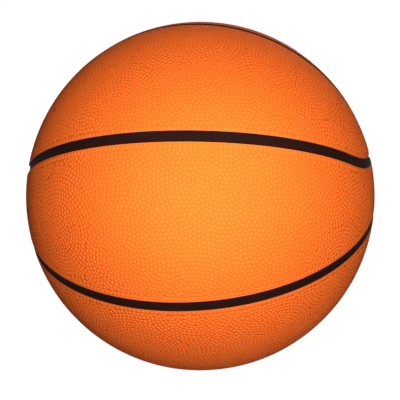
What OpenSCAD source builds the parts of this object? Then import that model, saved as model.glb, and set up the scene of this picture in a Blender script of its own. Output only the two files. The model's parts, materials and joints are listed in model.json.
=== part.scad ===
// Full-size basketball of moulded rubber, with eight cover panels and deep black channels.
// Origin at the ball's centre, +Z up. The equator channel lies in the XY plane and the
// upright channel in the XZ plane. The two oval channels go round +Z and -Z.

/* [Ball] */
// Outer diameter of the inflated ball, over the pebbles
ball_d = 240; // [200:1:260]
// Thickness of a cover panel
cover_t = 1.6; // [1.3:0.1:2.6]
// Thickness of the moulded carcass under the cover
carcass_t = 0.6; // [0.4:0.1:1.5]
// Thickness of the wound thread layer
winding_t = 0.5; // [0.3:0.1:1.2]
// Thickness of the bladder wall
bladder_t = 0.7; // [0.5:0.1:1.5]
// Thickness of the cement film between two layers, left open
layer_gap = 0.05; // [0.03:0.01:0.15]

/* [Channels] */
// Width of a channel between the straight edges of two panels
channel_w = 5.4; // [4:0.1:8]
// Radius of the rounded panel edge along a channel
shoulder_r = 0.7; // [0.4:0.05:0.9]
// Thickness of the black inlay strip on the channel's floor
strip_t = 0.6; // [0.4:0.05:0.8]
// Gap between the side of a strip and the panel beside it
strip_fit = 0.05; // [0.03:0.01:0.2]
// Gap between the end of a strip and the strip that it butts against
butt_gap = 0.15; // [0.12:0.01:0.4]

/* [Oval channels] */
// Angle from the pole to the middle of an oval's long side, in degrees
oval_side_angle = 47.6; // [44:0.1:52]
// Angle from the pole to the tip of an oval's round end, in degrees
oval_end_angle = 74.2; // [70:0.1:78]
// Angular radius of an oval's round end, in degrees
oval_tip_angle = 32.5; // [28:0.1:36]

/* [Valve] */
// Latitude of the valve, in degrees above the equator channel
valve_lat = 43.5; // [35:0.5:55]
// Longitude of the valve, in degrees from +X towards +Y
valve_lon = -150.7; // [-160:0.1:-140]
// Diameter of the hole through the cover panel
cover_hole_d = 2.8; // [2.5:0.1:4]
// Diameter of the needle bore through the valve core
needle_bore_d = 2.2; // [2:0.1:2.4]
// Depth of the funnel that leads the needle into the bore
funnel_h = 0.9; // [0.5:0.1:1.2]
// Diameter of the valve core's body
core_d = 5; // [4:0.1:6]
// Length of the valve core, over its head
core_l = 15; // [12:0.5:18]
// Diameter of the valve core's head
core_head_d = 7; // [6.6:0.1:8]
// Thickness of the valve core's head
core_head_t = 1.4; // [1:0.1:2]
// Diameter of the snap ring round the core's body
snap_d = 6; // [5.6:0.1:6.6]
// Width of the snap ring
snap_w = 1.4; // [1:0.1:2]
// Distance from the core's outer end to the middle of the snap ring
snap_l = 8; // [6:0.5:10]
// Radial gap between the core and the boot
core_fit = 0.1; // [0.05:0.01:0.3]
// Outer diameter of the boot's stem
boot_d = 10; // [9:0.5:14]
// Diameter of the boot's inner end, past its taper
boot_tip_d = 8; // [7.5:0.1:9]
// Diameter of the opening in the boot's inner end
boot_mouth_d = 3.4; // [2.6:0.1:3.8]
// Thickness of the boot under the end of the core
boot_end_t = 1.2; // [0.8:0.1:2]
// Length of the taper at the boot's inner end
boot_taper_l = 4; // [2:0.5:6]
// Diameter of the boot's flange inside the bladder
flange_d = 26; // [20:1:36]
// Thickness of the boot's flange
flange_t = 1; // [0.6:0.1:2]
// Diameter of the reinforcing patch in the window of the winding
patch_d = 34; // [28:1:44]
// Radial gap round the stem and round the patch
stem_fit = 0.1; // [0.05:0.01:0.3]

/* [Hidden] */
$fn = 180;

// How far a cut or a selecting block reaches past the surface that it passes through
overrun = 1;
// How much slimmer an oval's long sides are than its tips, and how far they reach into
// them, so that the arcs nest where they meet
lap_step = 0.02;
lap_l = 0.3;
// Share of the shoulder radius by which its crest stands over the ball, so that they cross
crest_share = 0.03;
// Share of the channel width by which the selecting blocks stay off a channel's middle
clear_share = 0.25;

// Radii of the layers, from the outside in
ball_r = ball_d / 2;
cover_ri = ball_r - cover_t;
floor_r = cover_ri + strip_t;
carcass_ro = cover_ri - layer_gap;
carcass_ri = carcass_ro - carcass_t;
winding_ro = carcass_ri - layer_gap;
winding_ri = winding_ro - winding_t;
bladder_ro = winding_ri - layer_gap;
bladder_ri = bladder_ro - bladder_t;
reach = ball_r + overrun;
strip_w = channel_w - 2 * strip_fit;

// An oval is four arcs of circles on the ball, each tangent to the next. A tip circle is
// centred tip_tilt from the pole. A side circle is centred side_tilt beyond the pole, and
// its angular radius is side_angle. Both tilts follow from the right-angled spherical
// triangle between the pole and the two centres.
tip_tilt = oval_end_angle - oval_tip_angle;
side_less_tip = oval_side_angle - oval_tip_angle;
side_tilt = atan((cos(side_less_tip) - cos(tip_tilt)) / sin(side_less_tip));
side_angle = oval_side_angle + side_tilt;
side_span = atan(tan(tip_tilt) / sin(side_tilt));
tip_span = atan(tan(side_tilt) / sin(tip_tilt));
// Tilt from the pole of the plane through the tangent points at one end of an oval
tangent_x = cos(oval_tip_angle) * sin(tip_tilt) + sin(oval_tip_angle) * cos(tip_span) * cos(tip_tilt);
tangent_z = cos(oval_tip_angle) * cos(tip_tilt) - sin(oval_tip_angle) * cos(tip_span) * sin(tip_tilt);
tangent_tilt = atan(tangent_x / tangent_z);

// Angle along the upright channel between a crossing's middle and the end of a strip there
butt_angle = asin((strip_w / 2 + butt_gap) / floor_r);

// Places along the valve's axis, measured from the ball's centre
core_top = carcass_ro;
core_end = core_top - core_l;
boot_end = core_end - core_fit - boot_end_t;

// Cross sections. Each is drawn in the plane through a circle's axis, with the ball's
// centre at the origin and the channel's middle on +X.

// Groove that parts two panels, with room for their rounded edges
module groove_section(inset = 0) {
    crest_v = channel_w / 2 + shoulder_r;
    crest_u = sqrt(pow(ball_r, 2) - pow(crest_v, 2)) - shoulder_r * (1 - crest_share);
    low_u = cover_ri - overrun + inset;
    top_u = reach - inset;
    translate([low_u, inset - channel_w / 2])
        square([top_u - low_u, channel_w - 2 * inset]);
    difference() {
        translate([crest_u, -crest_v]) square([top_u - crest_u, 2 * crest_v]);
        for (side = [-1, 1]) translate([crest_u, side * crest_v])
            circle(r = shoulder_r + inset);
    }
}

// Inlay strip, with a floor and a face that follow the ball
module strip_section(inset = 0) {
    difference() {
        intersection() {
            circle(r = floor_r - inset);
            translate([0, inset - strip_w / 2]) square([reach, strip_w - 2 * inset]);
        }
        circle(r = cover_ri + inset);
    }
}

// Sweeps a cross section along a circle on the ball: angle is the circle's angular radius
// about +Z, and the arc runs over span to each side of +X
module along_circle(angle, span = 180) {
    rotate([0, 0, -span]) rotate_extrude(angle = 2 * span) rotate([0, 0, 90 - angle]) children();
}

// Sweeps a cross section along the long side of the top oval at -Y or +Y, which side
// gives as -1 or 1, and a little into the tips
module along_side(side) {
    rotate([side * side_tilt, 0, 0]) rotate([0, 0, side * 90])
        along_circle(side_angle, side_span + asin(lap_l / ball_r)) children();
}

// Sweeps a cross section along the round tip of the top oval at -X or +X
module along_tip(side) {
    rotate([0, side * tip_tilt, 0]) rotate([0, 0, 90 - side * 90])
        along_circle(oval_tip_angle, tip_span) children();
}

// Sweeps a cross section along the upright channel, over span to each side of angle,
// which is measured from the pole towards +X
module along_upright(angle = 0, span = 180) {
    rotate([90, 0, 0]) rotate([0, 0, 90 - angle]) along_circle(90, span) children();
}

// Space on the -Y and +Z side, less a margin that lies within the channels round it
module front_upper_space() {
    margin = clear_share * channel_w;
    translate([-reach, -reach, margin])
        cube([2 * reach, reach - margin, reach - margin]);
}

// Everything inside the top oval, split from the rest within its channel
module oval_interior() {
    side_cut = ball_r * cos(side_angle) - clear_share * channel_w;
    wedge_x = ball_d * tan(tangent_tilt);
    intersection() {
        rotate([90, 0, 0]) linear_extrude(height = 2 * reach, center = true)
            polygon([[0, 0], [wedge_x, ball_d], [-wedge_x, ball_d]]);
        side_space(1, side_cut);
        side_space(-1, side_cut);
    }
    for (end = [-1, 1]) rotate([0, end * tip_tilt, 0])
        cylinder(h = reach, r1 = 0, r2 = reach * tan(oval_tip_angle));
}

// Half space beyond one long side circle of the oval
module side_space(side, cut) {
    rotate([side * side_tilt, 0, 0]) translate([-reach, -reach, cut])
        cube([2 * reach, 2 * reach, reach]);
}

// Hollow ball between two radii
module shell(outer_r, inner_r) {
    difference() {
        sphere(r = outer_r);
        sphere(r = inner_r);
    }
}

// Puts what is drawn about +Z on the valve's axis
module along_valve() {
    rotate([0, 90 - valve_lat, valve_lon]) children();
}

// Round hole through every layer, on the valve's axis
module valve_hole(d) {
    along_valve() translate([0, 0, boot_end]) cylinder(h = reach - boot_end, d = d);
}

// Half outline of the valve core, or of its pocket in the boot when grown by the fit
module core_outline(grow = 0) {
    translate([0, core_end - grow])
        square([core_d / 2 + grow, core_l + grow + overrun]);
    translate([0, core_top - core_head_t - grow])
        square([core_head_d / 2 + grow, core_head_t + grow + overrun]);
    translate([(snap_d - snap_w) / 2, core_top - snap_l])
        circle(r = snap_w / 2 + grow);
}

// Butyl bladder, with the hole that the valve's stem passes through
module bladder() {
    color("#262626") difference() {
        shell(bladder_ro, bladder_ri);
        valve_hole(boot_d + 2 * stem_fit);
    }
}

// Wound nylon thread, with a round window for the patch
module winding() {
    color("#e6dfcf") difference() {
        shell(winding_ro, winding_ri);
        valve_hole(patch_d + 2 * stem_fit);
    }
}

// Moulded rubber carcass, which the panels and the strips are cured to
module carcass() {
    color("#3d3936") difference() {
        shell(carcass_ro, carcass_ri);
        valve_hole(boot_d + 2 * stem_fit);
    }
}

// Rubber boot: a stem through the layers, and a flange bonded inside the bladder
module valve_boot() {
    flange_ro = bladder_ri - layer_gap;
    color("#4a4643") along_valve() rotate_extrude() difference() {
        union() {
            intersection() {
                polygon([[0, boot_end], [boot_tip_d / 2, boot_end],
                         [boot_d / 2, boot_end + boot_taper_l],
                         [boot_d / 2, reach], [0, reach]]);
                circle(r = carcass_ro);
            }
            intersection() {
                square([flange_d / 2, reach]);
                difference() {
                    circle(r = flange_ro);
                    circle(r = flange_ro - flange_t);
                }
            }
        }
        core_outline(core_fit);
        translate([0, boot_end - overrun])
            square([boot_mouth_d / 2, boot_end_t + 2 * overrun]);
    }
}

// Reinforcing disc of rubberised cloth round the stem, as thick as the winding
module valve_patch() {
    color("#b9ad94") difference() {
        intersection() {
            shell(winding_ro, winding_ri);
            valve_hole(patch_d);
        }
        valve_hole(boot_d + 2 * stem_fit);
    }
}

// Rubber plug that snaps into the boot, bored through for the needle
module valve_core() {
    color("#1f1d1c") along_valve() rotate_extrude() difference() {
        intersection() {
            core_outline();
            circle(r = core_top);
        }
        translate([0, core_end - overrun])
            square([needle_bore_d / 2, core_l + 2 * overrun]);
        polygon([[0, core_top - funnel_h], [needle_bore_d / 2, core_top - funnel_h],
                 [cover_hole_d / 2, core_top], [cover_hole_d / 2, reach], [0, reach]]);
    }
}

// Black rubber inlay of one channel or stretch of a channel
module inlay() {
    color("#241a17") children();
}

// Inlay of one whole oval channel
module oval_strip() {
    inlay() for (side = [-1, 1]) {
        along_tip(side) strip_section();
        along_side(side) strip_section(lap_step);
    }
}

// Long inlay of the upright channel, from end to end of the top oval
module cross_strip() {
    inlay() along_upright(0, oval_end_angle - butt_angle) strip_section();
}

// Short inlay of the upright channel, between the top oval and the equator on the +X side
module short_strip() {
    inlay() along_upright((oval_end_angle + 90) / 2, (90 - oval_end_angle) / 2 - butt_angle)
        strip_section();
}

module equator_strip() {
    inlay() along_circle(90) strip_section();
}

module top_oval_strip() {
    oval_strip();
}

module bottom_oval_strip() {
    mirror([0, 0, 1]) oval_strip();
}

module top_cross_strip() {
    cross_strip();
}

module bottom_cross_strip() {
    mirror([0, 0, 1]) cross_strip();
}

module upper_right_strip() {
    short_strip();
}

module upper_left_strip() {
    mirror([1, 0, 0]) short_strip();
}

module lower_right_strip() {
    mirror([0, 0, 1]) short_strip();
}

module lower_left_strip() {
    mirror([0, 0, 1]) mirror([1, 0, 0]) short_strip();
}

// Cuts the upright channel and the top oval's channel, one arc after another, into a
// piece of the cover on the -Y and +Z side
module cut_channels() {
    difference() {
        difference() {
            difference() {
                difference() {
                    children();
                    along_upright() groove_section();
                }
                along_side(-1) groove_section(lap_step);
            }
            along_tip(1) groove_section();
        }
        along_tip(-1) groove_section();
    }
}

// Panel inside the top oval, on the -Y side of the upright channel
module oval_panel() {
    color("#e0651c") cut_channels() intersection() {
        shell(ball_r, cover_ri);
        front_upper_space();
        oval_interior();
    }
}

// Panel between the top oval and the equator, on the -Y side of the upright channel
module side_panel() {
    color("#e0651c") difference() {
        cut_channels() difference() {
            intersection() {
                shell(ball_r, cover_ri);
                front_upper_space();
            }
            oval_interior();
        }
        along_circle(90) groove_section();
    }
}

// The valve's needle goes in through this panel
module top_front_panel() {
    difference() {
        oval_panel();
        valve_hole(cover_hole_d);
    }
}

module top_back_panel() {
    mirror([0, 1, 0]) oval_panel();
}

module bottom_front_panel() {
    mirror([0, 0, 1]) oval_panel();
}

module bottom_back_panel() {
    mirror([0, 0, 1]) mirror([0, 1, 0]) oval_panel();
}

module upper_front_panel() {
    side_panel();
}

module upper_back_panel() {
    mirror([0, 1, 0]) side_panel();
}

module lower_front_panel() {
    mirror([0, 0, 1]) side_panel();
}

module lower_back_panel() {
    mirror([0, 0, 1]) mirror([0, 1, 0]) side_panel();
}

bladder();
winding();
carcass();
valve_boot();
valve_patch();
valve_core();
equator_strip();
top_oval_strip();
bottom_oval_strip();
top_cross_strip();
bottom_cross_strip();
upper_left_strip();
upper_right_strip();
lower_left_strip();
lower_right_strip();
top_front_panel();
top_back_panel();
bottom_front_panel();
bottom_back_panel();
upper_front_panel();
upper_back_panel();
lower_front_panel();
lower_back_panel();
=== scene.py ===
"""Basketball of moulded rubber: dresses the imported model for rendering.

Metres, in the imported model's own frame: the origin is the ball's centre and +Z is up.
"""
from collections import namedtuple
from math import asin, atan, atan2, ceil, cos, pi, radians, sin, sqrt, tan, tau

import bmesh
import bpy
import numpy as np
from mathutils import Matrix, Vector
from mathutils.geometry import delaunay_2d_cdt
from mathutils.kdtree import KDTree
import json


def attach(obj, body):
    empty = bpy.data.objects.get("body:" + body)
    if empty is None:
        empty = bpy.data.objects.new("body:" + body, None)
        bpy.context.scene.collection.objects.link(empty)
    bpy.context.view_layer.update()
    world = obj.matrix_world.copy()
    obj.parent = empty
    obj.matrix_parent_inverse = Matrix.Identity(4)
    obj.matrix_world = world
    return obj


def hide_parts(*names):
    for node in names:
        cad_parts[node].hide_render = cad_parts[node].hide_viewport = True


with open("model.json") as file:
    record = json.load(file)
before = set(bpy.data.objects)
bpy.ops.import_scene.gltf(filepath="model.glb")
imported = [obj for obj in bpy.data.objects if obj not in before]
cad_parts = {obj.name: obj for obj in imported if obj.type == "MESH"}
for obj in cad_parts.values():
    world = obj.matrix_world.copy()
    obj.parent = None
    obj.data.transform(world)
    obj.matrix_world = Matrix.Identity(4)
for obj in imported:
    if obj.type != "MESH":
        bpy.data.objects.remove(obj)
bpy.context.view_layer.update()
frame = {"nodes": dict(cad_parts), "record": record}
mm = 0.001


# Bladder: a butyl rubber balloon that holds the air. It is moulded in one piece, and its
# hole is sealed to the valve's boot.

def node_in(tree, kind, inputs=None, **settings):
    """Adds a node, sets its properties, and fills or links its inputs by name or number"""
    node = tree.nodes.new(kind)
    for key, value in settings.items():
        setattr(node, key, value)
    for key, value in (inputs or {}).items():
        if isinstance(value, bpy.types.NodeSocket):
            tree.links.new(value, node.inputs[key])
        else:
            node.inputs[key].default_value = value
    return node


def between(tree, factor, first, second):
    """Colour between two others"""
    mix = node_in(tree, "ShaderNodeMix", {0: factor, 6: first, 7: second}, data_type="RGBA")
    return mix.outputs[2]


def new_material(name):
    """Node material with only its shader, and the coordinates of the object it is on"""
    material = bpy.data.materials.new(name)
    material.use_nodes = True
    tree = material.node_tree
    tree.nodes.clear()
    shader = tree.nodes.new("ShaderNodeBsdfPrincipled")
    node_in(tree, "ShaderNodeOutputMaterial", {"Surface": shader.outputs[0]})
    place = tree.nodes.new("ShaderNodeTexCoord").outputs["Object"]
    return material, tree, shader, place


def rubber_face(tree, shader, place, colour, cloud, rough, grain_size, grain, shine):
    """Gives rubber its colour and shine, a roughness that follows its clouds from the first
    of two values to the second, and the fine grain of its mould"""
    grain_depth = 0.02 * mm
    polish = node_in(tree, "ShaderNodeMapRange", {
        "Value": cloud, "To Min": rough[0], "To Max": rough[1]})
    fine = node_in(tree, "ShaderNodeTexNoise", {"Vector": place, "Scale": 1 / grain_size})
    bump = node_in(tree, "ShaderNodeBump", {
        "Height": fine.outputs[0], "Strength": grain, "Distance": grain_depth})
    tree.links.new(colour, shader.inputs["Base Color"])
    tree.links.new(polish.outputs[0], shader.inputs["Roughness"])
    tree.links.new(bump.outputs[0], shader.inputs["Normal"])
    shader.inputs["Specular IOR Level"].default_value = shine


def plain_rubber(name, dark, light, cloud_size, roughness, shine=0.4):
    """Moulded rubber, cloudy between two shades"""
    uneven = 0.06
    material, tree, shader, place = new_material(name)
    cloud = node_in(tree, "ShaderNodeTexNoise", {
        "Vector": place, "Scale": 1 / cloud_size, "Detail": 4}).outputs[0]
    rubber_face(tree, shader, place, between(tree, cloud, dark, light), cloud,
                rough=(roughness - uneven, roughness + uneven),
                grain_size=0.3 * mm, grain=0.4, shine=shine)
    return material


def dress(node, material):
    """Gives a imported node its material"""
    mesh = frame["nodes"][node].data
    mesh.materials.clear()
    mesh.materials.append(material)


dress("bladder", plain_rubber("Black butyl", (0.012, 0.012, 0.012, 1), (0.035, 0.034, 0.033, 1),
                              cloud_size=18 * mm, roughness=0.5))


# Winding: nylon thread, some thousands of turns wound round the bladder on every slant and
# set in latex, so that the ball keeps its shape.

def crossed_thread(name, dark, light, pitch, slants, lift):
    """Families of parallel thread that lie over each other, each on its own slant"""
    wave_length = tau / 20  # a wave texture's own, at a scale of 1
    material, tree, shader, place = new_material(name)
    top = 0.0
    for slant in slants:
        turned = node_in(tree, "ShaderNodeMapping", {"Vector": place, "Rotation": slant})
        turns = node_in(tree, "ShaderNodeTexWave", {
            "Vector": turned.outputs[0], "Scale": wave_length / pitch,
            "Distortion": 0.6, "Detail": 1})
        top = node_in(tree, "ShaderNodeMath", {0: turns.outputs["Fac"], 1: top},
                      operation="MAXIMUM").outputs[0]
    bump = node_in(tree, "ShaderNodeBump", {"Height": top, "Strength": 0.8, "Distance": lift})
    tree.links.new(between(tree, top, dark, light), shader.inputs["Base Color"])
    tree.links.new(bump.outputs[0], shader.inputs["Normal"])
    shader.inputs["Roughness"].default_value = 0.7
    return material


dress("winding", crossed_thread("Nylon thread", (0.36, 0.32, 0.24, 1), (0.82, 0.78, 0.68, 1),
                                pitch=0.9 * mm, lift=0.1 * mm,
                                slants=[(0, 0, 0.3), (0, 1.2, 0.9), (1.1, 0.4, 2.0)]))


# Carcass: a thin ball of black rubber that is moulded over the winding. The cover's panels
# and the inlays are cured onto it.

dress("carcass", plain_rubber("Carcass rubber", (0.026, 0.023, 0.021, 1), (0.06, 0.054, 0.05, 1),
                              cloud_size=12 * mm, roughness=0.65))


# Valve: a rubber boot bonded inside the bladder, a disc of rubberised cloth that stiffens
# the hole, and a snap-in core with the bore for the needle.

dress("valve_boot", plain_rubber("Boot rubber", (0.045, 0.04, 0.036, 1), (0.09, 0.08, 0.072, 1),
                                 cloud_size=3 * mm, roughness=0.6))
dress("valve_core", plain_rubber("Core rubber", (0.008, 0.0075, 0.007, 1), (0.02, 0.018, 0.017, 1),
                                 cloud_size=2 * mm, roughness=0.45))
dress("valve_patch", crossed_thread("Rubberised cloth", (0.2, 0.16, 0.1, 1), (0.52, 0.45, 0.33, 1),
                                    pitch=0.7 * mm, lift=0.06 * mm,
                                    slants=[(0, 0, 0.5), (0, 0, 0.5 + pi / 2)]))


# Inlays: black rubber strips on the floor of the channels, nine of them, cured to the
# carcass between the panels. Their faces are slightly hollow and quite dull.

# The layout of the channels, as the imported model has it. An oval is four arcs, each
# tangent to the next: two round tips about a centre tip_tilt from the pole, and two long
# sides about a centre side_tilt beyond it.
mounts = {mount["name"]: mount for mount in frame["record"]["mounts"]}
ball_r = -mounts["rest_cup"]["pos_m"][2]
cover_t = 1.6 * mm
seat_r = ball_r - cover_t
channel_w = 5.4 * mm
inlay_t = 0.6 * mm
inlay_w = 5.3 * mm
inlay_r = seat_r + inlay_t
butt_gap = 0.15 * mm
side_polar = radians(47.6)
end_polar = radians(74.2)
tip_angle = radians(32.5)
tip_tilt = end_polar - tip_angle
side_tilt = atan((cos(side_polar - tip_angle) - cos(tip_tilt)) / sin(side_polar - tip_angle))
side_angle = side_polar + side_tilt
side_span = atan(tan(tip_tilt) / sin(side_tilt))
tip_span = atan(tan(side_tilt) / sin(tip_tilt))


class Circle:
    """Middle line of a channel: a circle on the ball about an axis. Turn zero is at start,
    and turns run towards ahead."""

    def __init__(self, axis, start, ahead, angle):
        self.axis = np.array(axis)
        self.start = np.array(start)
        self.ahead = np.array(ahead)
        self.angle = angle

    def point(self, turn, aside, radius):
        """Point at a distance from the ball's centre, and aside from the middle line"""
        angle = self.angle + asin(aside / radius)
        spoke = cos(turn) * self.start + sin(turn) * self.ahead
        return radius * (cos(angle) * self.axis + sin(angle) * spoke)

    def turn_of(self, point):
        return atan2(point @ self.ahead, point @ self.start)


equator = Circle((0, 0, -1), (0, -1, 0), (1, 0, 0), pi / 2)
upright = Circle((0, 1, 0), (0, 0, 1), (1, 0, 0), pi / 2)
long_side, far_side = (
    Circle((0, end * sin(side_tilt), cos(side_tilt)), (0, -end * cos(side_tilt), sin(side_tilt)),
           (1, 0, 0), side_angle) for end in (1, -1))
left_tip, right_tip = (
    Circle((end * sin(tip_tilt), 0, cos(tip_tilt)), (end * cos(tip_tilt), 0, -sin(tip_tilt)),
           (0, -1, 0), tip_angle) for end in (-1, 1))
crease = radians(50)


def placed(name, data):
    """Object with a mesh, a lamp or a camera in it, in the scene"""
    item = bpy.data.objects.new(name, data)
    bpy.context.scene.collection.objects.link(item)
    return item


def solid_of(name, points, faces, mirror=(1, 1, 1)):
    """Mesh object from points and faces, mirrored, with its faces turned outwards"""
    mesh = bpy.data.meshes.new(name)
    mesh.from_pydata([Vector(p) * Vector(mirror) for p in points], [], faces)
    shape = bmesh.new()
    shape.from_mesh(mesh)
    bmesh.ops.recalc_face_normals(shape, faces=shape.faces)
    shape.to_mesh(mesh)
    shape.free()
    mesh.shade_smooth()
    mesh.set_sharp_from_angle(angle=crease)
    return placed(name, mesh)


def strip(name, path, closed, mirror=(1, 1, 1)):
    """Lays one inlay along a path of circles and turns, closed on itself or cut off square"""
    face_steps = 10
    hollow = 0.08 * mm
    edge = inlay_w / 2
    section = [(-edge, seat_r), (edge, seat_r)]
    for step in range(face_steps + 1):
        share = 1 - 2 * step / face_steps
        section.append((share * edge, inlay_r - hollow * (1 - share ** 2)))
    points = [circle.point(turn, *corner) for circle, turn in path for corner in section]
    width = len(section)
    rows = len(path)
    faces = []
    for row in range(rows if closed else rows - 1):
        here, there = row * width, (row + 1) % rows * width
        for k in range(width):
            after = (k + 1) % width
            faces.append((here + k, here + after, there + after, there + k))
    if not closed:
        faces += [tuple(range(width)), tuple(range((rows - 1) * width, rows * width))]
    piece = solid_of(name, points, faces, mirror)
    piece.data.materials.append(inlay_rubber)
    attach(piece, "root")
    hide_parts(name.removesuffix("_inlay") + "_strip")


def along(circle, first, last):
    """Places along a stretch of a circle, without the last one"""
    step = 2.5 * mm
    count = ceil(abs(last - first) * sin(circle.angle) * ball_r / step)
    return [(circle, first + (last - first) * k / count) for k in range(count)]


inlay_rubber = plain_rubber("Inlay rubber", (0.011, 0.003, 0.0018, 1), (0.017, 0.005, 0.0035, 1),
                            cloud_size=9 * mm, roughness=0.9, shine=0.06)
oval_path = (along(right_tip, -tip_span, tip_span) + along(long_side, side_span, -side_span)
             + along(left_tip, tip_span, -tip_span) + along(far_side, -side_span, side_span))
butt_turn = asin((inlay_w / 2 + butt_gap) / inlay_r)
cross_end = end_polar - butt_turn
cross_path = along(upright, -cross_end, cross_end) + [(upright, cross_end)]
short_end = pi / 2 - butt_turn
short_path = along(upright, end_polar + butt_turn, short_end) + [(upright, short_end)]
strip("equator_inlay", along(equator, -pi, pi), True)
for level, up in (("top", 1), ("bottom", -1)):
    strip(level + "_oval_inlay", oval_path, True, (1, 1, up))
    strip(level + "_cross_inlay", cross_path, False, (1, 1, up))
for level, up in (("upper", 1), ("lower", -1)):
    for hand, across in (("left", -1), ("right", 1)):
        strip(f"{level}_{hand}_inlay", short_path, False, (across, 1, up))


# Cover: eight panels of orange rubber, cured to the carcass under pressure. The mould
# gives each a rounded lip along its channels and a face of small domed pebbles, which
# run in swirls, with one row along every lip.

# A panel's edge, as distances from its channel's middle and from the ball's centre. The
# wall and the first lining_end degrees of the lip's rounding are black. The lip then dips
# to the skin, which the pebbles stand on, with a bend at dip_bend of its width and depth.
pebble_h = 0.4 * mm
skin_r = ball_r - pebble_h
panel_edge = channel_w / 2
corner_r = 1.8 * mm
lip_r = 0.7 * mm
lip_drop = 0.1 * mm
lip_top = ball_r - lip_drop
lip_step = 15
lining_end = 45
black_loops = 2 + lining_end // lip_step
dip_w = 0.5 * mm
dip_bend = (0.4, 0.35)
skin_edge = panel_edge + lip_r + dip_w
edge_profile = [(panel_edge, seat_r)]
for degrees in range(0, 91, lip_step):
    turn = radians(degrees)
    edge_profile.append((panel_edge + lip_r * (1 - cos(turn)), lip_top - lip_r * (1 - sin(turn))))
edge_profile += [(skin_edge - dip_bend[0] * dip_w, lip_top - dip_bend[1] * (lip_top - skin_r)),
                 (skin_edge, skin_r)]

# The needle hole, as distances beyond its wall and from the ball's centre
valve_axis = np.array(mounts["needle_bore"]["axis"])
hole_r = 1.4 * mm
hole_lip = 0.4 * mm
hole_sides = 24
hole_profile = [(0, seat_r), (0, skin_r - hole_lip),
                (0.3 * hole_lip, skin_r - 0.25 * hole_lip), (hole_lip, skin_r)]

# The legs of a panel's outline, in order: the channel, the side of it that the panel is
# on, where the leg starts and ends, and on which side of the ball the corner after it is,
# if it has one. A leg with no start or end goes to its corner with its neighbour.
Leg = namedtuple("Leg", "channel side first last hand")
oval_legs = [Leg(upright, 1, None, None, -1), Leg(left_tip, -1, None, tip_span, 0),
             Leg(long_side, -1, -side_span, side_span, 0), Leg(right_tip, -1, tip_span, None, 1)]
side_legs = [Leg(equator, 1, None, None, -1), Leg(upright, 1, None, None, -1),
             Leg(left_tip, 1, None, tip_span, 0), Leg(long_side, 1, -side_span, side_span, 0),
             Leg(right_tip, 1, tip_span, None, 1), Leg(upright, 1, None, None, 1)]


def corner(leg, away, other, other_away, radius):
    """Point on a ball that lies that far from each of two channels, at the leg's far end"""
    axis, other_axis = leg.channel.axis, other.channel.axis
    plane = radius * cos(leg.channel.angle + asin(leg.side * away / radius))
    other_plane = radius * cos(other.channel.angle + asin(other.side * other_away / radius))
    lean = axis @ other_axis
    foot = ((plane - other_plane * lean) * axis
            + (other_plane - plane * lean) * other_axis) / (1 - lean ** 2)
    across = np.cross(axis, other_axis)
    across = across / sqrt(across @ across)
    reach = sqrt(radius ** 2 - foot @ foot)
    return foot + across * reach * (1 if across[0] * leg.hand > 0 else -1)


def leg_turns(legs, away, radius):
    """Where each leg starts and ends, and the rounded corner that follows it"""
    corner_steps = 5
    round_r = max(corner_r - (away - panel_edge), 0)
    arcs = []
    for leg, other in zip(legs, legs[1:] + legs[:1]):
        turns = [pi / 2 * k / corner_steps for k in range(corner_steps + 1)] if leg.hand else []
        arcs.append([corner(leg, away + round_r * (1 - cos(turn)),
                            other, away + round_r * (1 - sin(turn)), radius) for turn in turns])
    found = []
    for leg, before, after in zip(legs, arcs[-1:] + arcs[:-1], arcs):
        first = leg.channel.turn_of(before[-1]) if leg.first is None else leg.first
        last = leg.channel.turn_of(after[0]) if leg.last is None else leg.last
        found.append((first, last, after))
    return found


def outline(legs, away, radius, step=1.4 * mm):
    """Closed line round a panel, as far everywhere from the channels' middles, and always
    of as many points"""
    line = []
    for leg, (first, last, arc), (start, end, _) in zip(
            legs, leg_turns(legs, away, radius), leg_turns(legs, panel_edge, ball_r)):
        count = ceil(abs(end - start) * sin(leg.channel.angle) * ball_r / step)
        line += [leg.channel.point(first + (last - first) * k / count, leg.side * away, radius)
                 for k in range(1, count)]
        line += arc or [leg.channel.point(last, leg.side * away, radius)]
    return line


def on_unit_ball(points):
    """Rows of points, each brought to a distance of 1 from the ball's centre"""
    return points / np.linalg.norm(points, axis=-1)[..., None]


def channel_distances(points):
    """Distances over the ball from the middles of the upright channel, the equator channel
    and the ovals, the last one positive inside an oval"""
    folded = np.abs(on_unit_ball(points))
    tip = folded @ right_tip.axis
    side = folded @ far_side.axis
    by_tip = folded @ np.cross(far_side.axis, right_tip.axis) < 0
    from_oval = np.where(by_tip, tip_angle - np.arccos(np.clip(tip, -1, 1)),
                         side_angle - np.arccos(np.clip(side, -1, 1)))
    return ball_r * np.arcsin(folded[:, 1]), ball_r * np.arcsin(folded[:, 2]), ball_r * from_oval


def room(points, legs):
    """Distance of points in a panel from the middle of the nearest channel round it"""
    from_upright, from_equator, from_oval = channel_distances(points)
    if legs is oval_legs:
        return np.minimum(from_upright, from_oval)
    return np.minimum(np.minimum(from_upright, from_equator), -from_oval)


def hole_distances(points):
    """Distances over the ball from the middle of the needle hole"""
    return np.arccos(np.clip(points @ valve_axis, -1, 1)) * ball_r


def ring(centre, radius, count, turn=0.0, at=1.0):
    """Evenly spaced points on a small circle of the ball round a centre"""
    across = np.cross(centre, (0, 0, 1) if abs(centre[2]) < 0.9 else (1, 0, 0))
    across = across / sqrt(across @ across)
    angle = radius / ball_r
    turns = turn + tau * np.arange(count) / count
    spokes = np.outer(np.cos(turns), across) + np.outer(np.sin(turns), np.cross(centre, across))
    return at * (cos(angle) * centre + sin(angle) * spokes)


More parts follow.
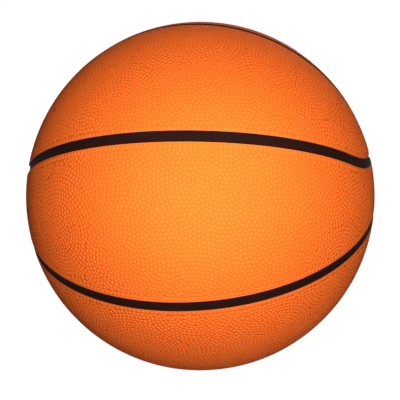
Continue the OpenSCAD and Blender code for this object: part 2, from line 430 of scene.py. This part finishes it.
class Plan:
    """Plane that the ball is projected onto, from the point opposite a panel's middle"""

    def __init__(self, middle):
        self.middle = np.array(middle) / sqrt(np.array(middle) @ np.array(middle))
        side = np.cross((0, 0, 1), self.middle)
        self.side = side / sqrt(side @ side)
        self.rise = np.cross(self.middle, self.side)

    def flat(self, points):
        unit = on_unit_ball(np.array(points))
        return (np.column_stack((unit @ self.side, unit @ self.rise))
                / (1 + unit @ self.middle)[:, None])

    def on_ball(self, spots):
        square = (spots ** 2).sum(axis=1)
        return ((1 - square)[:, None] * self.middle + 2 * spots[:, :1] * self.side
                + 2 * spots[:, 1:] * self.rise) / (1 + square)[:, None]


def face_grid(plan, rim, legs, bored):
    """Points between a panel's rims, in rows on the plan, and the same points on the ball"""
    grid_step = 3.6 * mm / ball_r / 2
    margin = 1.2 * mm
    low, high = rim.min(axis=0), rim.max(axis=0)
    columns, rows = np.meshgrid(np.arange(low[0], high[0], grid_step),
                                np.arange(low[1], high[1], grid_step * sqrt(3) / 2))
    columns[1::2] += grid_step / 2
    grid = np.column_stack((columns.ravel(), rows.ravel()))
    unit = plan.on_ball(grid)
    inside = (room(unit, legs) > skin_edge + margin) & (unit[:, 1] < 0) & (unit[:, 2] > 0)
    if bored:
        inside &= hole_distances(unit) > hole_r + hole_lip + margin
    return grid[inside], unit[inside]


def face_triangles(rim, hole_rim, grid):
    """Triangles of a face between its rims, as numbers in the rims and the grid in turn"""
    keep_to_outline = 4
    nearness = 1e-9
    hole_at = len(rim)
    walls = [(k, (k + 1) % hole_at) for k in range(hole_at)]
    walls += [(hole_at + k, hole_at + (k + 1) % len(hole_rim)) for k in range(len(hole_rim))]
    found = delaunay_2d_cdt([Vector(p) for p in np.vstack((rim, hole_rim, grid))], walls, [],
                            keep_to_outline, nearness)
    source = [origin[0] for origin in found[3]]
    triangles = [tuple(source[k] for k in face) for face in found[2]]
    return [face for face in triangles
            if not all(0 <= k - hole_at < len(hole_rim) for k in face)]


def panel_skin(legs, middle, bored):
    """Points and faces of a panel without its pebbles: the wall and the lip along its
    channels, its face, its back, and its needle hole if it has one. Its last result tells
    which points are black."""
    loops = [outline(legs, away, radius) for away, radius in edge_profile]
    hole_loops = [ring(valve_axis, hole_r + away, hole_sides, at=radius)
                  for away, radius in hole_profile if bored]
    plan = Plan(middle)
    rim = plan.flat(loops[-1])
    hole_rim = plan.flat(hole_loops[-1]) if bored else np.zeros((0, 2))
    grid, unit = face_grid(plan, rim, legs, bored)
    # Each loop's points follow on in turn, then the face's and the back's
    hole_at = len(loops) * len(rim)
    face_at = hole_at + len(hole_loops) * len(hole_rim)
    back_at = face_at + len(unit)
    points = [p for loop in loops + hole_loops for p in loop]
    points += list(unit * skin_r) + list(unit * seat_r)
    black = np.zeros(len(points))
    black[:black_loops * len(rim)] = 1
    if bored:
        black[hole_at:face_at - len(hole_rim)] = 1
    # The face and the back share their triangles
    on_face = [*range(hole_at - len(rim), hole_at), *range(face_at - len(hole_rim), back_at)]
    on_back = [*range(len(rim)), *range(hole_at, hole_at + len(hole_rim)),
               *range(back_at, len(points))]
    faces = []
    for triangle in face_triangles(rim, hole_rim, grid):
        faces.append(tuple(on_face[k] for k in triangle))
        faces.append(tuple(on_back[k] for k in reversed(triangle)))
    for at, band in ((0, loops), (hole_at, hole_loops)):
        for row in range(len(band) - 1):
            width = len(band[0])
            for k in range(width):
                here, after = at + row * width + k, at + row * width + (k + 1) % width
                faces.append((here, after, after + width, here + width))
    return points, faces, black


# The pebbles' layout. One swirl goes round the needle hole and four on the front have their
# middles given. The other middles are found, about swirl_gap apart.
pebble_pitch = 2.5 * mm
pebble_row = 0.866 * pebble_pitch
first_row = 2.0 * mm
hole_clear = hole_r + hole_lip + 0.45 * pebble_pitch
swirl_gap = 44 * mm
front_swirls = on_unit_ball(np.array(((0.155, -0.574, 0.804), (0.260, -0.816, 0.516),
                                      (0.712, -0.588, 0.384), (-0.244, -0.618, 0.748))))


def tree_of(points):
    """Search tree of points, by their numbers"""
    tree = KDTree(len(points))
    for k, point in enumerate(points):
        tree.insert(Vector(point), k)
    tree.balance()
    return tree


def swirls():
    """Points of the pebbles before they are thinned: rings round many centres spread over
    the ball, each kept where its own centre is the nearest"""
    tries = 24000
    rng = np.random.default_rng(7)
    tried = on_unit_ball(rng.normal(size=(tries, 3)))
    centres = [valve_axis, *front_swirls]
    for point in tried:
        if (np.array(centres) @ point).max() < cos(swirl_gap / ball_r):
            centres.append(point)
    tree = tree_of(centres)
    points = []
    for k, centre in enumerate(centres):
        start = hole_r + hole_lip + 0.5 * pebble_pitch if k == 0 else pebble_pitch
        aways = [start + number * pebble_row for number in range(ceil(swirl_gap / pebble_row))]
        for away in aways if k == 0 else [0] + aways:
            count = max(1, round(tau * away / pebble_pitch))
            for point in ring(centre, away, count, rng.uniform(0, tau)):
                if tree.find(Vector(point))[1] == k:
                    points.append((away, point))
    points.sort(key=lambda entry: entry[0])
    return np.array([point for _, point in points])


def edge_row(legs, signs):
    """Pebbles in one row along a panel's lip"""
    line = np.array(outline(legs, panel_edge + first_row, ball_r, step=0.5 * mm)) * signs
    closed = np.vstack((line, line[:1]))
    length = np.concatenate(([0], np.cumsum(np.linalg.norm(np.diff(closed, axis=0), axis=1))))
    count = round(length[-1] / pebble_pitch)
    at = np.arange(count) * length[-1] / count
    spots = np.column_stack([np.interp(at, length, closed[:, k]) for k in range(3)])
    return on_unit_ball(spots)


def keep_apart(kept, candidates, gap):
    """Adds each candidate that isn't too near one already there"""
    cell = gap / ball_r
    cells = {}

    def place(point):
        return tuple(int(x // cell) for x in point)

    for point in kept:
        cells.setdefault(place(point), []).append(point)
    kept = list(kept)
    for point in candidates:
        i, j, k = place(point)
        near = [other for x in (i - 1, i, i + 1) for y in (j - 1, j, j + 1)
                for z in (k - 1, k, k + 1) for other in cells.get((x, y, z), ())]
        if all((a - point[0]) ** 2 + (b - point[1]) ** 2 + (c - point[2]) ** 2 > cell ** 2
               for a, b, c in near):
            cells.setdefault((i, j, k), []).append(point)
            kept.append(point)
    return kept


def nearest_gaps(points, count):
    """Neighbours of each point, and how far they are"""
    tree = tree_of(points)
    found = [tree.find_n(Vector(point), count + 1)[1:] for point in points]
    return (np.array([[entry[1] for entry in near] for near in found]),
            np.array([[entry[2] for entry in near] for near in found]) * ball_r)


def settle(points, fixed):
    """Pushes pebbles that crowd each other apart, all but the fixed ones"""
    rounds = 2
    steps = 4
    neighbours = 6
    easing = 0.3
    wanted = 0.97 * pebble_pitch / ball_r
    for _ in range(rounds):
        near, _ = nearest_gaps(points, neighbours)
        for _ in range(steps):
            apart = points[:, None] - points[near]
            gap = np.linalg.norm(apart, axis=2)
            push = np.clip(wanted - gap, 0, None) * easing
            move = (apart / gap[:, :, None] * push[:, :, None]).sum(axis=1)
            move[:fixed] = 0
            points = on_unit_ball(points + move)
    return points


def pebble_places():
    """Middles of all the pebbles on the ball, and each one's radius. The swirls come after
    the rows along the lips, and loose pebbles fill what is still open."""
    loose_tries = 70000
    neighbours = 4
    least_r, most_r = 0.48 * pebble_pitch, 0.6 * pebble_pitch
    rows = np.vstack([edge_row(legs, (1, front, up)) for legs in (oval_legs, side_legs)
                      for front in (1, -1) for up in (1, -1)])
    rng = np.random.default_rng(11)
    loose = on_unit_ball(rng.normal(size=(2, loose_tries, 3)))
    points = rows
    # Each lot, and how near its pebbles may be to others, as a share of the pitch
    for candidates, gap in ((swirls(), 0.72), (loose[0], 0.78), (loose[1], 0.78)):
        from_upright, from_equator, from_oval = channel_distances(candidates)
        clear = np.minimum(np.minimum(from_upright, from_equator), np.abs(from_oval))
        good = (clear > panel_edge + first_row) & (hole_distances(candidates) > hole_clear)
        kept = keep_apart([tuple(p) for p in points], [tuple(p) for p in candidates[good]],
                          gap * pebble_pitch)
        points = settle(np.array(kept), len(rows))
    _, gaps = nearest_gaps(points, neighbours)
    return points, np.clip(0.57 * gaps.mean(axis=1), least_r, most_r)


def pebble_tree():
    """Geometry nodes that set a low dome on every point, facing away from the ball's centre.
    A dome is a drum of two steps: its levels are 0 at the root, a half and 1 at the crown."""
    tree = bpy.data.node_groups.new("Moulded pebbles", "GeometryNodeTree")
    for name, kind in (("Geometry", "Geometry"), ("Pebble height", "Float"),
                       ("Root depth", "Float"), ("Crown rounding", "Float"), ("Sides", "Int"),
                       ("Shoulder", "Float"), ("Material", "Material")):
        tree.interface.new_socket(name, in_out="INPUT", socket_type="NodeSocket" + kind)
    tree.interface.new_socket("Geometry", in_out="OUTPUT", socket_type="NodeSocketGeometry")
    given = tree.nodes.new("NodeGroupInput").outputs

    def maths(operation, *values):
        inputs = dict(enumerate(values))
        return node_in(tree, "ShaderNodeMath", inputs, operation=operation).outputs[0]

    drum = node_in(tree, "GeometryNodeMeshCylinder", {
        "Vertices": given["Sides"], "Side Segments": 2, "Radius": 1, "Depth": 1},
        fill_type="TRIANGLE_FAN")
    corner_place = tree.nodes.new("GeometryNodeInputPosition").outputs[0]
    apart = node_in(tree, "ShaderNodeSeparateXYZ", {0: corner_place}).outputs
    level = maths("ADD", apart["Z"], 0.5)
    narrow = maths("COSINE", maths("MULTIPLY", level, given["Shoulder"]))
    across = maths("MULTIPLY", apart["X"], narrow)
    along_y = maths("MULTIPLY", apart["Y"], narrow)
    square = maths("ADD", maths("MULTIPLY", across, across), maths("MULTIPLY", along_y, along_y))
    inwards = maths("MAXIMUM", maths("SUBTRACT", 1, square), 0)
    crown = maths("MULTIPLY", maths("POWER", inwards, given["Crown rounding"]),
                  given["Pebble height"])
    rooted = maths("LESS_THAN", level, 0.1)
    height = maths("SUBTRACT", maths("MULTIPLY", crown, maths("SUBTRACT", 1, rooted)),
                   maths("MULTIPLY", rooted, given["Root depth"]))
    warped = node_in(tree, "ShaderNodeCombineXYZ", {"X": across, "Y": along_y, "Z": height})
    dome = node_in(tree, "GeometryNodeSetPosition", {
        "Geometry": drum.outputs["Mesh"], "Position": warped.outputs[0]})
    smooth = node_in(tree, "GeometryNodeSetShadeSmooth", {"Geometry": dome.outputs[0]})
    outwards = node_in(tree, "FunctionNodeAlignRotationToVector", {"Vector": corner_place},
                       axis="Z")
    radius = node_in(tree, "GeometryNodeInputNamedAttribute", {"Name": "pebble_radius"}).outputs[0]
    size = node_in(tree, "ShaderNodeCombineXYZ", {"X": radius, "Y": radius, "Z": 1})
    spread = node_in(tree, "GeometryNodeInstanceOnPoints", {
        "Points": given["Geometry"], "Instance": smooth.outputs[0],
        "Rotation": outwards.outputs[0], "Scale": size.outputs[0]})
    real = node_in(tree, "GeometryNodeRealizeInstances", {"Geometry": spread.outputs[0]})
    finished = node_in(tree, "GeometryNodeSetMaterial", {
        "Geometry": real.outputs[0], "Material": given["Material"]})
    node_in(tree, "NodeGroupOutput", {"Geometry": finished.outputs[0]})
    return tree


def cover_rubber():
    """Orange rubber, black on the walls of the channels, with a painted highlight on the pebbles'
    crowns and the lips, and painted shade in the hollows between the pebbles
    """
    material, tree, shader, place = new_material("Cover rubber")
    from_centre = node_in(tree, "ShaderNodeVectorMath", {0: place},
                          operation="LENGTH").outputs["Value"]
    # Painted light: the colour follows the distance from the ball's centre. It is paler towards
    # the pebbles' crowns and the lips as a painted highlight, and darker down in the hollows
    # between the pebbles as painted shade.
    crown = node_in(tree, "ShaderNodeMapRange", {
        "Value": from_centre, "From Min": skin_r, "From Max": ball_r}).outputs[0]
    cloud = node_in(tree, "ShaderNodeTexNoise", {
        "Vector": place, "Scale": 1 / (35 * mm), "Detail": 3}).outputs[0]
    # Both tones run from painted shade in the hollows to a painted highlight on the crowns. The
    # cloud between the two tones is the rubber's own uneven colour.
    shade = between(tree, crown, (0.83, 0.126, 0.010, 1), (0.87, 0.143, 0.016, 1))
    warm = between(tree, crown, (0.86, 0.142, 0.012, 1), (0.90, 0.160, 0.019, 1))
    orange = between(tree, cloud, shade, warm)
    lining = node_in(tree, "ShaderNodeAttribute", attribute_name="lining").outputs["Fac"]
    colour = between(tree, lining, orange, (0.009, 0.0045, 0.0035, 1))
    rubber_face(tree, shader, place, colour, cloud, rough=(0.72, 0.82),
                grain_size=0.35 * mm, grain=0.35, shine=0.12)
    return material


def grown_pebbles(name, places, radii):
    """Mesh of the pebbles at some places of the ball"""
    spots = bpy.data.meshes.new(name)
    spots.from_pydata([Vector(p) for p in places * skin_r], [], [])
    spots.attributes.new("pebble_radius", "FLOAT", "POINT").data.foreach_set("value", radii)
    holder = placed(name, spots)
    growth = holder.modifiers.new("Pebbles", "NODES")
    growth.node_group = pebbles
    sizes = {"Pebble height": pebble_h, "Root depth": 0.12 * mm, "Crown rounding": 0.65,
             "Sides": 6, "Shoulder": radians(58), "Material": cover_material}
    for socket in pebbles.interface.items_tree:
        if socket.name in sizes:
            growth[socket.identifier] = sizes[socket.name]
    evaluated = holder.evaluated_get(bpy.context.evaluated_depsgraph_get())
    grown = bpy.data.meshes.new_from_object(evaluated)
    bpy.data.objects.remove(holder)
    return grown


def cover_panel(name, legs, middle, front, up):
    """Makes one panel: its skin, mirrored to its place, with the pebbles that stand on it"""
    points, faces, black = panel_skin(legs, middle, bored=name == "top_front")
    panel = solid_of(name + "_cover", points, faces, (1, front, up))
    panel.data.attributes.new("lining", "FLOAT", "POINT").data.foreach_set("value", black)
    own = (in_oval == (legs is oval_legs)) & (pebble_at[:, 1] * front < 0) & (
        pebble_at[:, 2] * up > 0)
    whole = bmesh.new()
    whole.from_mesh(panel.data)
    whole.from_mesh(grown_pebbles(name + "_pebbles", pebble_at[own], pebble_radius[own]))
    whole.to_mesh(panel.data)
    whole.free()
    panel.data.materials.clear()
    panel.data.materials.append(cover_material)
    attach(panel, "root")
    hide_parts(name + "_panel")


cover_material = cover_rubber()
pebbles = pebble_tree()
pebble_at, pebble_radius = pebble_places()
in_oval = channel_distances(pebble_at)[2] > 0
for levels, legs, middle in ((("top", "bottom"), oval_legs, (0, -0.4, 0.9)),
                             (("upper", "lower"), side_legs, (0, -1, 0.35))):
    for level, up in zip(levels, (1, -1)):
        for face, front in (("front", 1), ("back", -1)):
            cover_panel(level + "_" + face, legs, middle, front, up)


# Studio: a white floor in white surroundings, a small flash beside the camera, a wide soft
# lamp behind the ball, and the camera, which stands where the photograph was taken from.

floor_half = 9
floor_mesh = bpy.data.meshes.new("Floor")
floor_mesh.from_pydata([(x * floor_half, y * floor_half, -ball_r) for x, y in
                        ((-1, -1), (1, -1), (1, 1), (-1, 1))], [], [(0, 1, 2, 3)])
floor = placed("Floor", floor_mesh)


def seen(tree):
    """One for the rays of the camera, of reflections and of glass, and zero for light's"""
    rays = tree.nodes.new("ShaderNodeLightPath").outputs
    found = rays["Is Camera Ray"]
    for kind in ("Is Glossy Ray", "Is Transmission Ray"):
        found = node_in(tree, "ShaderNodeMath", {0: found, 1: rays[kind]},
                        operation="MAXIMUM").outputs[0]
    return found


def white_paper():
    """White floor that the camera and reflections see at almost full white, with the ball's
    shadow on it"""
    whiteness = 0.97
    shade = 0.4
    material = bpy.data.materials.new("White paper")
    material.use_nodes = True
    tree = material.node_tree
    tree.nodes.clear()
    glow = node_in(tree, "ShaderNodeMath", {0: seen(tree), 1: whiteness}, operation="MULTIPLY")
    lit = node_in(tree, "ShaderNodeBsdfDiffuse", {"Color": (shade, shade, shade, 1)})
    added = node_in(tree, "ShaderNodeEmission", {
        "Color": (1, 1, 1, 1), "Strength": glow.outputs[0]})
    both = node_in(tree, "ShaderNodeAddShader", {0: lit.outputs[0], 1: added.outputs[0]})
    node_in(tree, "ShaderNodeOutputMaterial", {"Surface": both.outputs[0]})
    return material


floor_mesh.materials.append(white_paper())

towards = Vector((0.1627, -0.8700, 0.4654)).normalized()
camera_up = Vector((0.01162, 0.46859, 0.88334))
camera_right = camera_up.cross(towards).normalized()
camera_up = towards.cross(camera_right)
camera_distance = 2.854 * ball_r
camera = placed("Camera", bpy.data.cameras.new("Camera"))
camera.matrix_world = Matrix.Translation(towards * camera_distance) @ Matrix(
    (camera_right, camera_up, towards)).transposed().to_4x4()
camera.data.sensor_width = 36
camera.data.lens = 41.97
camera.data.shift_x = -0.0008
camera.data.shift_y = -0.0097
camera.data.clip_start = 0.01
bpy.context.scene.camera = camera


def soft_lamp(name, direction, distance, size, power):
    """Square area lamp that faces the ball"""
    lamp = bpy.data.lights.new(name, "AREA")
    lamp.size = size
    lamp.energy = power
    holder = placed(name, lamp)
    holder.matrix_world = Matrix.Translation(direction * distance) @ direction.to_track_quat(
        "Z", "Y").to_matrix().to_4x4()


flash_side = (towards + 0.04 * camera_right + 0.03 * camera_up).normalized()
back_side = Vector((0.05, 1, 0.05)).normalized()
soft_lamp("Flash", flash_side, distance=0.28, size=0.04, power=0.655)
soft_lamp("Back", back_side, distance=1.1, size=0.9, power=9)

world = bpy.data.worlds.new("Studio")
world.use_nodes = True
tree = world.node_tree
sky = tree.nodes["Background"].inputs
sky["Color"].default_value = (1, 1, 1, 1)
strength = node_in(tree, "ShaderNodeMapRange", {"Value": seen(tree), "To Min": 0.1, "To Max": 1})
tree.links.new(strength.outputs[0], sky["Strength"])
bpy.context.scene.world = world
bpy.context.scene.view_settings.view_transform = "Standard"
